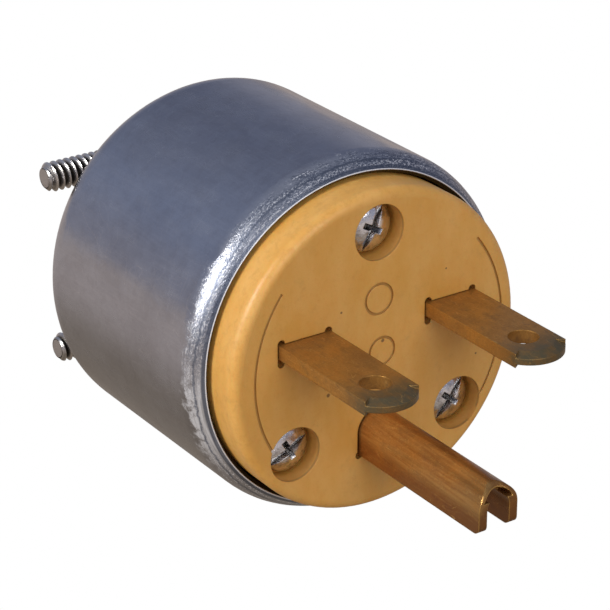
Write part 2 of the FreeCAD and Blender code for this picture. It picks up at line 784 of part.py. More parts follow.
# A round-headed screw: its seat is the plane Y = 0, its shank points to +Y.
def screw(name, kind, across, back, up, turn, crossed=False):
    body = new_body(name)
    top = "- %s_head_side - %s_head_crown" % (kind, kind)
    radius = kind + "_screw_radius"
    length = kind + "_screw_length"
    half = new_sketch(body, "half", "XY_Plane")
    outline(half, [
        ("0", top),
        (kind + "_head_radius", "- %s_head_side" % kind),
        (kind + "_head_radius", "0"),
        (radius, "0"),
        (radius, length + " - screw_point"),
        (radius + " - screw_point", length),
        ("0", length),
    ], arcs={0: (kind + "_dome", -1)})
    revolve(body, half)
    offset = "%s_head_side + %s_head_crown" % (kind, kind)
    slot = new_sketch(body, "slot", "XZ_Plane", offset)
    box_outline(slot, "- %s_head_radius" % kind, "%s_head_radius" % kind, "- half_slot", "half_slot")
    pocket(body, slot, "slot_depth")
    if crossed:
        cross = new_sketch(body, "cross", "XZ_Plane", offset)
        box_outline(cross, "- half_cross", "half_cross", "- cross_reach", "cross_reach")
        pocket(body, cross, "cross_depth")
    place(body, across, back, up, turn)
    return body


def clamp_jaw(name, side, fixed):
    body = new_body(name)
    out = "- " if side == "left" else ""
    bulge = 1 if side == "left" else -1
    strip = new_sketch(body, "strip", "XZ_Plane", "- rear_back")
    outline(strip, [
        (out + "jaw_ear_across", "- jaw_ear_outer"),
        (out + "jaw_ear_across", "- jaw_ear_inner"),
        (out + "jaw_ear_across", "jaw_ear_inner"),
        (out + "jaw_ear_across", "jaw_ear_outer"),
        (out + "jaw_inner", "jaw_ear_outer"),
        (out + "jaw_inner", "jaw_ear_inner"),
        (out + "jaw_inner", "- jaw_ear_inner"),
        (out + "jaw_inner", "- jaw_ear_outer"),
    ], arcs={1: ("jaw_curve", bulge), 5: ("jaw_curve", -bulge)})
    band = pad(body, strip, "jaw_width", flip=True)
    doc.recompute()
    reach = number("jaw_ear_outer") - 0.01
    ends = edges_where(band, lambda edge: edge.BoundBox.YLength + edge.BoundBox.ZLength < 0.01
                       and abs(edge.BoundBox.ZMin) > reach)
    soften(body, "Fillet", band, ends, "jaw_sheet")
    play = "tap_play" if fixed else "loose_play"
    if fixed:
        collars = new_sketch(body, "collars", "YZ_Plane", out + "jaw_ear_across")
        for up in ("clamp_screw_up", "- clamp_screw_up"):
            circle(collars, "clamp_screw_back", up, "jaw_collar_radius")
        pad(body, collars, "jaw_collar_height", flip=(side == "left"))
        foot = new_sketch(body, "foot", "XZ_Plane", "- rear_back")
        box_outline(foot, out + "foot_reach", out + "jaw_belly_inner", "- foot_half_height", "foot_half_height")
        pad(body, foot, "jaw_sheet", flip=True)
        rivets = new_sketch(body, "rivet_holes", "XZ_Plane", "- rear_back")
        for up in ("rivet_up", "- rivet_up"):
            circle(rivets, out + "rivet_across", up, "rivet_radius + tap_play")
        pocket(body, rivets, "jaw_sheet")
    holes = new_sketch(body, "screw_holes", "YZ_Plane")
    for up in ("clamp_screw_up", "- clamp_screw_up"):
        circle(holes, "clamp_screw_back", up, "clamp_screw_radius + " + play)
    pocket(body, holes, flip=(side == "right"))
    return body


def clamp_rivet(name, up):
    body = new_body(name)
    half = new_sketch(body, "half", "XY_Plane")
    outline(half, [
        ("0", "- rivet_head_height"),
        ("rivet_head_radius", "0"),
        ("rivet_radius", "0"),
        ("rivet_radius", "rivet_grip"),
        ("rivet_upset_radius", "rivet_grip"),
        ("rivet_upset_radius", "rivet_grip + rivet_upset_height"),
        ("0", "rivet_grip + rivet_upset_height"),
    ], arcs={0: ("rivet_dome", -1)})
    revolve(body, half)
    place(body, "- rivet_across", "foot_back", up, 180)
    return body


pieces = [steel_shell(), face_insert(), terminal_block(), fibre_liner()]
pieces += [blade(side + "_blade", middle) for side, middle in SIDES.items()]
pieces += [ground_pin(), bond_strap()]
for side, (across, up) in FACE_SCREWS.items():
    pieces.append(screw("face_screw_" + side, "face", across, "sink_depth", up, 0, crossed=True))
for side, middle in SIDES.items():
    pieces.append(wire_plate(side + "_wire_plate", middle, "pad_back", "terminal_up"))
    pieces.append(screw(side + "_terminal_screw", "terminal", middle, "pad_back + plate_thickness", "terminal_up", 180))
pieces.append(wire_plate("ground_wire_plate", "0", "strap_back", "ground_terminal_up"))
pieces.append(screw("ground_terminal_screw", "terminal", "0", "strap_back + plate_thickness", "ground_terminal_up", 180))
pieces.append(clamp_jaw("fixed_clamp_jaw", "left", fixed=True))
pieces.append(clamp_jaw("loose_clamp_jaw", "right", fixed=False))
pieces.append(screw("upper_clamp_screw", "clamp", "upper_seat", "clamp_screw_back", "clamp_screw_up", 90))
pieces.append(screw("lower_clamp_screw", "clamp", "lower_seat", "clamp_screw_back", "- clamp_screw_up", 90))
pieces.append(clamp_rivet("upper_clamp_rivet", "rivet_up"))
pieces.append(clamp_rivet("lower_clamp_rivet", "- rivet_up"))
doc.recompute()

failed = [item.Name for item in doc.Objects if "Invalid" in item.State or "Error" in item.State]
for piece in pieces:
    if piece.Shape.isNull() or not piece.Shape.isValid() or len(piece.Shape.Solids) != 1:
        failed.append(piece.Label)
if failed:
    raise ValueError("not built: " + ", ".join(failed))

os.makedirs("parts", exist_ok=True)
for piece in pieces:
    piece.Shape.exportStep(os.path.join("parts", piece.Label + ".step"))
    print("%-24s %9.1f mm3" % (piece.Label, piece.Shape.Volume))
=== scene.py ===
import json
import math

import bmesh
import bpy
from mathutils import Euler, Matrix, Vector


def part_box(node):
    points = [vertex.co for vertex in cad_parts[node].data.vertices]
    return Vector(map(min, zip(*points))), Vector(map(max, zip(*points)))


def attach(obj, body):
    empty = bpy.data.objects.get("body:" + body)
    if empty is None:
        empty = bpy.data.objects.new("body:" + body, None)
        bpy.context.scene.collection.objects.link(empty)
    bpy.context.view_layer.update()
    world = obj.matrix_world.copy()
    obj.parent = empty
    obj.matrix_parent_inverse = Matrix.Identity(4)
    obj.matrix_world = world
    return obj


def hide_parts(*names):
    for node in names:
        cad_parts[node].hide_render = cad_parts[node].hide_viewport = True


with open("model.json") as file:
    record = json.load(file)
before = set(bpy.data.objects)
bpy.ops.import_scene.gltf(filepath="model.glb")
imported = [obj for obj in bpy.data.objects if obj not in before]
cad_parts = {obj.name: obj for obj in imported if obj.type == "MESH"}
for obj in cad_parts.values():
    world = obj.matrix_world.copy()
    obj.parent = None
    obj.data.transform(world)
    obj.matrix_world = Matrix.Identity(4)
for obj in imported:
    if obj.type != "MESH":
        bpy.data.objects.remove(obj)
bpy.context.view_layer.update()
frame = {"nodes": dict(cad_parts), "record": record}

# Round power plug: zinc plated shell, yellow moulded face, worn brass blades and ground pin.
mm = 0.001
nodes = frame["nodes"]


# Node helpers: a value may be a number, a colour or another node's socket
def feed(tree, socket, value):
    if isinstance(value, bpy.types.NodeSocket):
        tree.links.new(value, socket)
    else:
        socket.default_value = value


def addNode(tree, kind, inputs=None, **settings):
    item = tree.nodes.new(kind)
    for name, value in settings.items():
        setattr(item, name, value)
    for name, value in (inputs or {}).items():
        feed(tree, item.inputs[name], value)
    return item


def calc(tree, operation, first, second=0.0, third=0.0):
    item = addNode(tree, "ShaderNodeMath", {0: first, 1: second, 2: third}, operation=operation)
    return item.outputs[0]


def times(tree, first, *others):
    for value in others:
        first = calc(tree, "MULTIPLY", first, value)
    return first


# A start value plus each value times its weight
def weighed(tree, start, *pairs):
    for value, weight in pairs:
        start = calc(tree, "MULTIPLY_ADD", value, weight, start)
    return start


# Smooth step of a value, from start at low to end at high
def ramp(tree, value, low, high, start=0.0, end=1.0):
    item = addNode(tree, "ShaderNodeMapRange", {
        "Value": value, "From Min": low, "From Max": high, "To Min": start, "To Max": end})
    item.interpolation_type = "SMOOTHSTEP"
    return item.outputs["Result"]


def blendColour(tree, amount, first, second):
    item = addNode(tree, "ShaderNodeMix", {0: amount, 6: first, 7: second}, data_type="RGBA")
    return item.outputs[2]


# Colours laid over a base in turn, each with its mask and its strength
def layered(tree, base, *layers):
    for mask, strength, tint in layers:
        base = blendColour(tree, times(tree, mask, strength), base, tint)
    return base


def colour(red, green, blue):
    return (red, green, blue, 1.0)


# Object coordinates in millimetres, stretched and turned as asked
def millimetres(tree, stretch=(1, 1, 1), turn=(0, 0, 0)):
    place = addNode(tree, "ShaderNodeTexCoord")
    mapping = addNode(tree, "ShaderNodeMapping", {"Vector": place.outputs["Object"]})
    mapping.inputs["Scale"].default_value = [value / mm for value in stretch]
    mapping.inputs["Rotation"].default_value = [math.radians(value) for value in turn]
    return mapping.outputs["Vector"]


def noise(tree, vector, scale, detail=3.0, roughness=0.55, distortion=0.0):
    return addNode(tree, "ShaderNodeTexNoise", {
        "Vector": vector, "Scale": scale, "Detail": detail,
        "Roughness": roughness, "Distortion": distortion}).outputs["Fac"]


# Thin wandering lines, 1 on the line and 0 off it
def hairlines(tree, vector, scale, width, distortion=0.6):
    value = noise(tree, vector, scale, 2.0, 0.5, distortion)
    off = calc(tree, "ABSOLUTE", calc(tree, "SUBTRACT", value, 0.5))
    return ramp(tree, off, width, 0.0)


def axes(tree):
    parts = addNode(tree, "ShaderNodeSeparateXYZ", {"Vector": millimetres(tree)})
    return parts.outputs[0], parts.outputs[1], parts.outputs[2]


# Distance in the plane of two axes from the point (across, up)
def around(tree, x, z, across=0.0, up=0.0):
    dx = calc(tree, "SUBTRACT", x, across)
    dz = calc(tree, "SUBTRACT", z, up)
    return calc(tree, "SQRT", weighed(tree, 0.0, (dx, dx), (dz, dz)))


def startMaterial(name):
    material = bpy.data.materials.new(name)
    material.use_nodes = True
    tree = material.node_tree
    tree.nodes.clear()
    output = tree.nodes.new("ShaderNodeOutputMaterial")
    surface = tree.nodes.new("ShaderNodeBsdfPrincipled")
    tree.links.new(surface.outputs[0], output.inputs[0])
    return material, tree, surface


def join(tree, surface, **values):
    names = {"base": "Base Color", "rough": "Roughness", "metal": "Metallic", "normal": "Normal"}
    for key, value in values.items():
        feed(tree, surface.inputs[names[key]], value)


# Height to normal on top of edges rounded by edge millimetres
def relief(tree, height, distance, strength=1.0, edge=0.0):
    inputs = {"Height": height, "Distance": distance * mm, "Strength": strength}
    if edge:
        inputs["Normal"] = addNode(tree, "ShaderNodeBevel", {"Radius": edge * mm}, samples=6).outputs[0]
    return addNode(tree, "ShaderNodeBump", inputs).outputs[0]


# 1 on outer edges, where the rounded normal leaves the flat one
def edgeMask(tree, size, low=0.02, high=0.25):
    rounded = addNode(tree, "ShaderNodeBevel", {"Radius": size * mm}, samples=8).outputs[0]
    flat = addNode(tree, "ShaderNodeNewGeometry").outputs["Normal"]
    along = addNode(tree, "ShaderNodeVectorMath", {0: rounded, 1: flat}, operation="DOT_PRODUCT")
    return ramp(tree, calc(tree, "SUBTRACT", 1.0, along.outputs["Value"]), low, high)


shellLook = {
    "zinc": colour(0.52, 0.53, 0.57),
    "bright": colour(0.86, 0.86, 0.87),
    "dark": colour(0.13, 0.15, 0.20),
    "boreShade": colour(0.035, 0.035, 0.035),
    "brownReflection": colour(0.40, 0.33, 0.29),
    "stain": colour(0.37, 0.36, 0.38),
    "roughness": 0.19,
    "gallingAndShade": 0.80,   # darkness of the rubbed front between its bright specks, stronger towards the top as painted shade
    "mouth": 3.9,      # front edge of the sheet, mm behind the face
    "shoulder": 6.5,   # where the rubbed front ends
}


def shellFinish():
    material, tree, surface = startMaterial("shellZinc")
    x, y, z = axes(tree)
    vector = millimetres(tree)
    radius = around(tree, x, z)
    clouds = noise(tree, vector, 0.13, 5.0, 0.6, 0.6)
    mottle = noise(tree, vector, 0.75, 5.0, 0.7)
    smears = noise(tree, millimetres(tree, (0.6, 0.2, 0.6)), 0.7, 4.0, 0.6)
    drawn = noise(tree, millimetres(tree, (2.6, 0.16, 2.6)), 1.6, 3.0, 0.6)
    turned = noise(tree, millimetres(tree, (0.16, 3.4, 0.16)), 0.9, 4.0, 0.65)
    sparks = noise(tree, millimetres(tree, (0.8, 1.8, 0.8)), 5.0, 3.0, 0.75)
    grains = noise(tree, vector, 6.0, 2.0, 0.7)
    scratches = hairlines(tree, millimetres(tree, (1.0, 0.5, 1.0), (20, 10, 35)), 0.16, 0.0022, 1.4)
    nicks = hairlines(tree, millimetres(tree, (0.7, 1.3, 0.7), (-35, 15, -20)), 0.26, 0.002, 0.8)
    lines = calc(tree, "MAXIMUM", scratches, nicks)
    mouth, shoulder = shellLook["mouth"], shellLook["shoulder"]
    ragged = calc(tree, "ADD", y, ramp(tree, mottle, 0.3, 0.7, -0.9, 0.9))
    front = ramp(tree, ragged, shoulder, shoulder - 1.4)
    worn = times(tree, front, ramp(tree, radius, 18.0, 18.45))
    bright = times(tree, worn, ramp(tree, turned, 0.40, 0.60), ramp(tree, sparks, 0.51, 0.57))
    upper = ramp(tree, z, -4.0, 7.0)
    # the dark between the specks fades towards the bottom: painted shade on top, the lit lower shoulder left
    # bright
    dark = times(tree, worn, upper, ramp(tree, sparks, 0.56, 0.47))
    # the lower front shoulder laid on bright and chalky: scuffs there, strengthened as a painted highlight
    scuffsAndHighlight = times(tree, worn, ramp(tree, z, 6.0, -3.0), ramp(tree, z, -14.0, -6.0),
                    ramp(tree, turned, 0.36, 0.56, 0.6, 1.0))
    # the lip: a painted highlight on the sheet edge, a dark band of painted reflection, a dark line behind it
    # and painted shade in the bore
    edgeHighlight = ramp(tree, y, mouth + 0.10, mouth + 0.05)
    darkLipReflection = ramp(tree, y, mouth + 0.42, mouth + 0.30)
    offLine = calc(tree, "SUBTRACT", y, ramp(tree, mottle, 0.3, 0.7, mouth + 0.83, mouth + 1.07))
    lipLine = ramp(tree, calc(tree, "ABSOLUTE", offLine), 0.16, 0.05)
    lipLine = times(tree, lipLine, ramp(tree, sparks, 0.36, 0.46))
    boreShade = times(tree, ramp(tree, y, 6.8, 6.2), ramp(tree, radius, 18.47, 18.40),
                 ramp(tree, y, mouth + 0.06, mouth + 0.12))
    # painted reflection: a brown patch towards the top right of the shell
    brownReflection = times(tree, ramp(tree, x, 2.0, 13.0), ramp(tree, z, 8.0, 17.0), ramp(tree, clouds, 0.36, 0.6))
    base = layered(
        tree, shellLook["zinc"],
        (ramp(tree, clouds, 0.38, 0.68), 0.35, shellLook["stain"]),
        (ramp(tree, mottle, 0.42, 0.70), 0.30, shellLook["stain"]),
        (ramp(tree, grains, 0.45, 0.75), 0.18, shellLook["stain"]),
        (ramp(tree, drawn, 0.40, 0.80), 0.10, shellLook["bright"]),
        (brownReflection, 0.7, shellLook["brownReflection"]),
        (scuffsAndHighlight, 0.8, shellLook["bright"]),
        (dark, shellLook["gallingAndShade"], shellLook["dark"]),
        (bright, 0.9, shellLook["bright"]),
        (lipLine, 0.8, shellLook["dark"]),
        (darkLipReflection, 0.85, shellLook["dark"]),
        (edgeHighlight, 1.0, shellLook["bright"]),
        (boreShade, 0.9, shellLook["boreShade"]),
        (lines, 0.25, shellLook["bright"]))
    rough = weighed(tree, shellLook["roughness"], (ramp(tree, smears, 0.3, 0.75, -0.04, 0.08), 1.0),
                    (dark, 0.15), (grains, 0.05))
    # dull white, not metal: on the painted highlights of the sheet edge and lower shoulder and on the bright
    # specks
    chalkAndHighlight = calc(tree, "MAXIMUM", edgeHighlight, times(tree, bright, 0.7))
    chalkAndHighlight = calc(tree, "MAXIMUM", chalkAndHighlight, times(tree, scuffsAndHighlight, 0.65))
    metal = weighed(tree, 1.0, (chalkAndHighlight, -0.8))
    height = weighed(tree, 0.0, (clouds, 0.8), (drawn, 0.03), (mottle, 0.05), (lines, -0.05),
                     (times(tree, turned, front), 0.12),
                     (times(tree, sparks, front), weighed(tree, 0.12, (upper, 0.38))))
    join(tree, surface, base=base, rough=rough, metal=metal, normal=relief(tree, height, 0.10, 0.6, 0.08))
    return material


faceLook = {
    "yellow": colour(0.78, 0.395, 0.078),
    "pale": colour(0.83, 0.46, 0.12),
    "warm": colour(0.70, 0.30, 0.045),
    "soil": colour(0.15, 0.075, 0.028),
    "roughness": 0.42,
    "glow": 0.15,      # share of light that goes into the nylon
    "glowDepth": 0.6,  # and how deep, mm
    "ior": 1.53,
    "specks": (  # across, up, radius, mm
        (-6.3, -3.2, 0.27), (0.5, 1.2, 0.27), (-4.7, 5.7, 0.17), (-12.0, -6.5, 0.15),
        (3.4, -9.5, 0.13), (8.5, 7.3, 0.15), (-9.6, 4.1, 0.12), (12.7, -3.6, 0.16)),
}


def faceFinish():
    material, tree, surface = startMaterial("faceNylon")
    x, y, z = axes(tree)
    vector = millimetres(tree)
    clouds = noise(tree, vector, 0.16, 4.0, 0.6)
    flow = noise(tree, millimetres(tree, (0.5, 1.0, 0.25), (0, 25, 0)), 0.6, 4.0, 0.6)
    mottle = noise(tree, vector, 1.1, 5.0, 0.75)
    pores = noise(tree, vector, 9.0, 2.0, 0.6)
    grain = noise(tree, vector, 3.0, 3.0, 0.6)
    rubs = hairlines(tree, millimetres(tree, (1, 1, 1), (0, 40, 0)), 0.5, 0.006, 0.7)
    radius = around(tree, x, z)
    groove = times(tree, ramp(tree, y, 0.04, 0.16), ramp(tree, y, 0.5, 0.25), ramp(tree, radius, 16.6, 16.5))
    # painted shade in the sinks, slots and holes below the face
    inside = times(tree, ramp(tree, y, 0.6, 2.2), ramp(tree, radius, 16.9, 16.5))
    rim = times(tree, ramp(tree, radius, 16.6, 17.7), ramp(tree, mottle, 0.45, 0.62))
    specks = 0.0
    for across, up, size in faceLook["specks"]:
        specks = calc(tree, "MAXIMUM", specks, ramp(tree, around(tree, x, z, across, up), size, size * 0.5))
    base = layered(
        tree, faceLook["yellow"],
        (ramp(tree, flow, 0.3, 0.75), 1.0, faceLook["pale"]),
        (ramp(tree, mottle, 0.50, 0.72), 0.35, faceLook["warm"]),
        (ramp(tree, grain, 0.52, 0.75), 0.22, faceLook["warm"]),
        (groove, 0.40, faceLook["soil"]),
        (inside, 0.55, faceLook["warm"]),
        (rim, 0.07, faceLook["soil"]),
        (ramp(tree, noise(tree, vector, 0.45, 5.0, 0.65), 0.54, 0.78), 0.14, faceLook["soil"]),
        (times(tree, specks, ramp(tree, y, 0.35, 0.05)), 0.8, faceLook["soil"]))
    rough = weighed(tree, faceLook["roughness"], (ramp(tree, clouds, 0.3, 0.7, -0.06, 0.08), 1.0),
                    (rubs, -0.08))
    height = weighed(tree, 0.0, (pores, 0.10), (grain, 0.22), (clouds, 1.2), (mottle, 0.35), (rubs, -0.12))
    join(tree, surface, base=base, rough=rough, normal=relief(tree, height, 0.10, 0.6, 0.14))
    surface.inputs["Subsurface Weight"].default_value = faceLook["glow"]
    surface.inputs["Subsurface Scale"].default_value = faceLook["glowDepth"] * mm
    surface.inputs["IOR"].default_value = faceLook["ior"]
    return material


bladeLook = {
    "brown": colour(0.43, 0.195, 0.036),
    "bright": colour(0.66, 0.37, 0.10),
    "tarnish": colour(0.19, 0.092, 0.026),
    "tip": colour(0.105, 0.088, 0.045),
    "grain": 0.8,    # how strongly the fine grain shows
    "roughness": 0.42,
    "patina": 0.55,  # share of dull brown film on the metal
    "soften": 0.16,  # edge rounding, mm
    "edge": 0.16,    # width of the bright edges, mm
    "streaks": 0.12,  # how strongly the long rub marks show
    "wear": 0.5,     # how bright the edges are: rub wear, partly a painted highlight
}
pinLook = {
    "brown": colour(0.44, 0.170, 0.029),
    "bright": colour(0.92, 0.56, 0.17),
    "tarnish": colour(0.20, 0.068, 0.018),
    "tip": colour(0.25, 0.115, 0.035),
    "grain": 0.6,
    "roughness": 0.30,
    "patina": 0.38,
    "soften": 0.30,
    "edge": 0.24,
    "streaks": 0.18,
    "wear": 0.85,
    "crown": (0.8, -0.6, 3.3, 0.8, 0.25),  # painted highlight stripe along the crown: across, up, offset, width and strength
    "low": (-7.5, -11.0, 0.5),             # painted shade on the lower side: from, to and strength
}


# Brass worn by sockets: brown film, faint long rub marks, darker tip, edges rubbed bright and partly painted
# as highlights; where the look asks, a painted highlight along the crown and painted shade on the lower side
def wornBrass(name, look, node):
    material, tree, surface = startMaterial(name)
    x, y, z = axes(tree)
    vector = millimetres(tree)
    clouds = noise(tree, vector, 0.22, 4.0, 0.6, 0.4)
    blotches = noise(tree, millimetres(tree, (1.0, 0.7, 1.0)), 0.8, 5.0, 0.68)
    rubs = noise(tree, millimetres(tree, (2.6, 0.16, 2.6)), 1.3, 4.0, 0.6)
    grain = noise(tree, vector, 4.2, 4.0, 0.78)
    fine = noise(tree, vector, 11.0, 2.0, 0.7)
    scratches = hairlines(tree, millimetres(tree, (1.6, 0.25, 1.6), (6, 4, 5)), 0.5, 0.005, 0.5)
    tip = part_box(node)[0][1] / mm
    nearTip = ramp(tree, y, tip + 6.5, tip + 0.8)
    rim = edgeMask(tree, look["edge"])
    sides = []
    if "crown" in look:
        # a painted highlight stripe along the crown, broken by the rub marks, and painted shade on the lower
        # side
        across, up, offset, width, strength = look["crown"]
        low, lowest, shade = look["low"]
        crown = ramp(tree, calc(tree, "ABSOLUTE", weighed(tree, -offset, (x, across), (z, up))), width, 0.0)
        crown = times(tree, crown, ramp(tree, rubs, 0.30, 0.60, 0.45, 1.0))
        sides = [(ramp(tree, z, low, lowest), shade, look["tarnish"]), (crown, strength, look["bright"])]
    base = layered(
        tree, look["brown"],
        (ramp(tree, clouds, 0.36, 0.70), 0.55, look["tarnish"]),
        (ramp(tree, rubs, 0.52, 0.66), look["streaks"] * 0.55, look["bright"]),
        (ramp(tree, rubs, 0.48, 0.34), look["streaks"], look["tarnish"]),
        (ramp(tree, blotches, 0.50, 0.70), 0.65, look["tarnish"]),
        (ramp(tree, grain, 0.52, 0.72), look["grain"], look["tarnish"]),
        (ramp(tree, grain, 0.46, 0.28), look["grain"] * 0.6, look["bright"]),
        (nearTip, ramp(tree, blotches, 0.30, 0.60, 0.55, 0.95), look["tip"]),
        *sides,
        (scratches, 0.35, look["bright"]),
        # edges brightened: rub wear, partly painted highlight
        (rim, look["wear"], look["bright"]))
    rough = weighed(tree, look["roughness"], (ramp(tree, clouds, 0.3, 0.7, -0.05, 0.08), 1.0),
                    (scratches, -0.08))
    film = times(tree, look["patina"], ramp(tree, blotches, 0.25, 0.60, 0.7, 1.0))
    metal = calc(tree, "SUBTRACT", 1.0, times(tree, film, calc(tree, "SUBTRACT", 1.0, rim)))
    height = weighed(tree, 0.0, (rubs, 0.10), (fine, 0.05), (scratches, -0.08), (grain, 0.10),
                     (blotches, 0.20))
    normal = relief(tree, height, 0.06, 0.7, look["soften"])
    join(tree, surface, base=base, rough=rough, metal=metal, normal=normal)
    return material


# Small plated or turned metal parts; edge is a rounding in mm, the values after it are strengths
platedLooks = {
    "strap_brass": {
        "name": "strapBrass", "base": colour(0.68, 0.47, 0.17), "dull": colour(0.36, 0.22, 0.08),
        "roughness": 0.30, "edge": 0.05},
    "terminal_brass": {
        "name": "terminalBrass", "base": colour(0.72, 0.51, 0.20), "dull": colour(0.40, 0.25, 0.10),
        "roughness": 0.28, "edge": 0.06},
    "ground_green": {
        "name": "groundGreen", "base": colour(0.06, 0.30, 0.12), "dull": colour(0.03, 0.12, 0.06),
        "roughness": 0.34, "edge": 0.06},
    "screw_steel": {
        "name": "screwNickel", "base": colour(0.93, 0.93, 0.94), "dull": colour(0.42, 0.40, 0.40),
        "roughness": 0.13, "edge": 0.04, "wear": 0.6, "grime": 1.0, "recessShade": 1.0, "dents": 6.0},
    "jaw_steel": {
        "name": "jawZinc", "base": colour(0.52, 0.52, 0.54), "dull": colour(0.30, 0.29, 0.28),
        "roughness": 0.30, "edge": 0.08},
}


def plated(name, base, dull, roughness, edge, wear=0.4, grime=0.5, recessShade=0.0, dents=0.5):
    material, tree, surface = startMaterial(name)
    vector = millimetres(tree)
    clouds = noise(tree, vector, 0.7, 5.0, 0.65)
    fine = noise(tree, vector, 9.0, 3.0, 0.7)
    lines = hairlines(tree, vector, 0.9, 0.010, 0.9)
    bright = tuple(min(value * 1.35, 0.92) for value in base[:3]) + (1.0,)
    tone = layered(tree, base, (ramp(tree, clouds, 0.42, 0.68), grime, dull), (lines, 0.4, bright),
                   (edgeMask(tree, edge * 2), wear, bright))
    if recessShade:  # painted shade: dark corners in the recesses
        nook = addNode(tree, "ShaderNodeAmbientOcclusion", {"Distance": 0.6 * mm}, samples=8).outputs["AO"]
        tone = layered(tree, tone, (ramp(tree, nook, 0.90, 0.60), recessShade, colour(0.045, 0.04, 0.03)))
    rough = calc(tree, "ADD", roughness, ramp(tree, clouds, 0.3, 0.7, -0.04, 0.12))
    height = weighed(tree, 0.0, (fine, 0.2), (clouds, dents), (lines, -0.2))
    join(tree, surface, base=tone, rough=rough, metal=1.0, normal=relief(tree, height, 0.03, 0.6, edge))
    return material


# The clamp screws: crests and tips rubbed bright, roots painted dark as shade
threadLook = {
    "recessShade": colour(0.07, 0.06, 0.05),
    "steel": colour(0.68, 0.65, 0.62),
    "stain": colour(0.25, 0.20, 0.15),
    "shadeRadius": 1.22,      # the thread is painted dark as shade inside this radius, mm
    "rubbedRadius": 1.62,    # and bright from this one
    "tip": (-16.3, -16.7),   # across, where the rubbed tips begin, mm
}


def threadFinish():
    material, tree, surface = startMaterial("clampScrewZinc")
    x, y, z = axes(tree)
    vector = millimetres(tree)
    low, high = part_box("upper_clamp_screw")
    back, up = (low[1] + high[1]) / 2 / mm, (low[2] + high[2]) / 2 / mm
    radius = around(tree, y, calc(tree, "ABSOLUTE", z), back, up)
    clouds = noise(tree, vector, 0.8, 5.0, 0.65)
    fine = noise(tree, vector, 8.0, 3.0, 0.7)
    uneven = weighed(tree, radius, (fine, 0.12))
    rubbed = ramp(tree, uneven, threadLook["shadeRadius"], threadLook["rubbedRadius"])
    rubbed = calc(tree, "MAXIMUM", rubbed, times(tree, ramp(tree, x, *threadLook["tip"]), 0.75))
    tone = layered(tree, threadLook["recessShade"], (rubbed, 1.0, threadLook["steel"]),
                   (ramp(tree, clouds, 0.48, 0.7), 0.5, threadLook["stain"]))
    rough = weighed(tree, 0.50, (rubbed, -0.32))
    join(tree, surface, base=tone, rough=rough, metal=0.95, normal=relief(tree, fine, 0.03, 0.6, 0.04))
    return material


blockLook = {
    "black": colour(0.035, 0.034, 0.033),
    "dust": colour(0.10, 0.095, 0.09),
    "roughness": 0.5,
}


def blockFinish():
    material, tree, surface = startMaterial("blockNylon")
    vector = millimetres(tree)
    clouds = noise(tree, vector, 0.3, 4.0, 0.6)
    fine = noise(tree, vector, 7.0, 3.0, 0.6)
    tone = layered(tree, blockLook["black"], (ramp(tree, clouds, 0.4, 0.75), 0.5, blockLook["dust"]))
    rough = calc(tree, "ADD", blockLook["roughness"], ramp(tree, clouds, 0.3, 0.7, -0.05, 0.1))
    join(tree, surface, base=tone, rough=rough, normal=relief(tree, fine, 0.03, 0.5, 0.12))
    return material


fibreLook = {
    "red": colour(0.24, 0.085, 0.045),
    "fluff": colour(0.34, 0.14, 0.075),
    "dark": colour(0.13, 0.06, 0.04),
}


def fibreFinish():
    material, tree, surface = startMaterial("fibreSheet")
    vector = millimetres(tree)
    threads = noise(tree, millimetres(tree, (2.0, 0.3, 2.0)), 3.0, 4.0, 0.7)
    clouds = noise(tree, vector, 0.4, 4.0, 0.6)
    tone = layered(
        tree, fibreLook["red"],
        (ramp(tree, threads, 0.35, 0.7), 1.0, fibreLook["fluff"]),
        (ramp(tree, clouds, 0.45, 0.75), 0.5, fibreLook["dark"]))
    join(tree, surface, base=tone, rough=0.72, normal=relief(tree, threads, 0.04, 0.6))
    return material


finishes = {
    "shell_steel": shellFinish(),
    "face_nylon": faceFinish(),
    "block_nylon": blockFinish(),
    "fibre": fibreFinish(),
    "blade_brass": wornBrass("bladeBrass", bladeLook, "left_blade"),
    "pin_brass": wornBrass("pinBrass", pinLook, "ground_pin"),
    "clamp_screw_steel": threadFinish(),
}
finishes.update({slot: plated(**look) for slot, look in platedLooks.items()})
slotOf = {item["node"]: item["material_slot"] for item in frame["record"]["subparts"]}
for name, piece in nodes.items():
    piece.data.materials.clear()
    piece.data.materials.append(finishes[slotOf[name]])
print("finishes made:", len(finishes))


# Threaded shank, a Geometry Nodes tree: rows follow the helix, radius follows the profile
thread = {
    "clamp": {"pitch": 0.80, "crest": 1.68, "root": 1.02, "point": 1.15, "runIn": 0.2, "segments": 40,
              "length": 25.4},
    "face": {"pitch": 0.80, "crest": 1.58, "root": 1.20, "point": 1.1, "runIn": 0.1, "segments": 24},
    "rowsPerTurn": 8,
    "flat": 0.12,    # share of each half pitch that is flat, at the crest and at the root
    "endGap": 0.02,  # the shank stops this far short of the solid's end
}


def geometryTree(name, sockets):
    tree = bpy.data.node_groups.new(name, "GeometryNodeTree")
    tree.interface.new_socket("Geometry", in_out="OUTPUT", socket_type="NodeSocketGeometry")
    for label, kind, value in sockets:
        socket = tree.interface.new_socket(label, in_out="INPUT", socket_type="NodeSocket" + kind)
        if value is not None:
            socket.default_value = value
    return tree, tree.nodes.new("NodeGroupInput"), tree.nodes.new("NodeGroupOutput")


